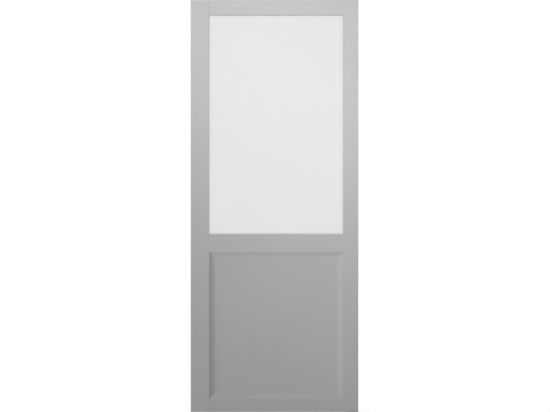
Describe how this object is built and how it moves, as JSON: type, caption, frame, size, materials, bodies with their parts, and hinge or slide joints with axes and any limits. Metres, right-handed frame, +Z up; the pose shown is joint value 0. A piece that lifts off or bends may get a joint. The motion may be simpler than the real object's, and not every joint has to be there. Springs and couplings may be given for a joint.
{
  "type": "sliding door",
  "caption": "Half-glazed grey sliding door leaf with a satin glass light over a moulded panel, hung on wheeled trolleys in a wall-fixed top track with end stops and a floor guide.",
  "frame": {"origin": "on the floor at the middle of the floor guide's base, in the leaf's mid-plane, at mid-track", "axes": "+Z up, -Y to the front of the leaf, +Y to the wall, +X along the track to where the leaf opens"},
  "size_m": [1.685, 0.052, 2.143],
  "materials": {
    "satin_paint": "satin",
    "satin_glass": "matte",
    "pale_seal": "matte",
    "black_rubber": "matte",
    "bare_wood": "matte",
    "zinc_steel": "satin",
    "track_aluminium": "satin",
    "grey_nylon": "matte",
    "white_nylon": "satin"
  },
  "bodies": {
    "head": {"track": "track_aluminium", "bracket_bolts": "zinc_steel", "bracket_nuts": "zinc_steel", "stop_screws": "zinc_steel", "wall_bracket_1": "zinc_steel", "wall_bracket_2": "zinc_steel", "wall_bracket_3": "zinc_steel", "wall_bracket_4": "zinc_steel", "end_stop_left": "zinc_steel", "end_stop_right": "zinc_steel", "buffer_left": "black_rubber", "buffer_right": "black_rubber", "track_cap_left": "grey_nylon", "track_cap_right": "grey_nylon", "floor_guide": "grey_nylon"},
    "leaf": {"closing_stile": "satin_paint", "trailing_stile": "satin_paint", "top_rail": "satin_paint", "mid_rail": "satin_paint", "bottom_rail": "satin_paint", "lower_panel": "satin_paint", "front_moulding_left": "satin_paint", "front_moulding_right": "satin_paint", "front_moulding_top": "satin_paint", "front_moulding_bottom": "satin_paint", "back_moulding_left": "satin_paint", "back_moulding_right": "satin_paint", "back_moulding_top": "satin_paint", "back_moulding_bottom": "satin_paint", "glazing_bead_left": "satin_paint", "glazing_bead_right": "satin_paint", "glazing_bead_top": "satin_paint", "glazing_bead_bottom": "satin_paint", "glass_pane": "satin_glass", "front_glass_seal": "pale_seal", "back_glass_seal": "pale_seal", "setting_blocks": "black_rubber", "dowels": "bare_wood", "hanger_screws": "zinc_steel", "wheel_axles": "zinc_steel", "hanger_plate_left": "zinc_steel", "hanger_plate_right": "zinc_steel", "hanger_bolt_left": "zinc_steel", "hanger_bolt_right": "zinc_steel", "lock_nut_left": "zinc_steel", "lock_nut_right": "zinc_steel", "trolley_left": "zinc_steel", "trolley_right": "zinc_steel"},
    "wheel_pair_1": {"wheel_1": "white_nylon", "wheel_2": "white_nylon"},
    "wheel_pair_2": {"wheel_3": "white_nylon", "wheel_4": "white_nylon"},
    "wheel_pair_3": {"wheel_5": "white_nylon", "wheel_6": "white_nylon"},
    "wheel_pair_4": {"wheel_7": "white_nylon", "wheel_8": "white_nylon"}
  },
  "joints": [
    {"name": "leaf_slide", "type": "slide", "parent": "head", "child": "leaf", "axis": [1, 0, 0], "range_m": [0, 0.76]},
    {"name": "wheel_pair_1_roll", "type": "hinge", "parent": "leaf", "child": "wheel_pair_1", "pos_m": [-0.653, 0, 2.0763], "axis": [0, 1, 0], "continuous": true},
    {"name": "wheel_pair_2_roll", "type": "hinge", "parent": "leaf", "child": "wheel_pair_2", "pos_m": [-0.607, 0, 2.0763], "axis": [0, 1, 0], "continuous": true},
    {"name": "wheel_pair_3_roll", "type": "hinge", "parent": "leaf", "child": "wheel_pair_3", "pos_m": [-0.137, 0, 2.0763], "axis": [0, 1, 0], "continuous": true},
    {"name": "wheel_pair_4_roll", "type": "hinge", "parent": "leaf", "child": "wheel_pair_4", "pos_m": [-0.091, 0, 2.0763], "axis": [0, 1, 0], "continuous": true}
  ],
  "couplings": [
    {"joint": "wheel_pair_1_roll", "follows": "leaf_slide", "rad_per_m": 98.039},
    {"joint": "wheel_pair_2_roll", "follows": "leaf_slide", "rad_per_m": 98.039},
    {"joint": "wheel_pair_3_roll", "follows": "leaf_slide", "rad_per_m": 98.039},
    {"joint": "wheel_pair_4_roll", "follows": "leaf_slide", "rad_per_m": 98.039}
  ]
}
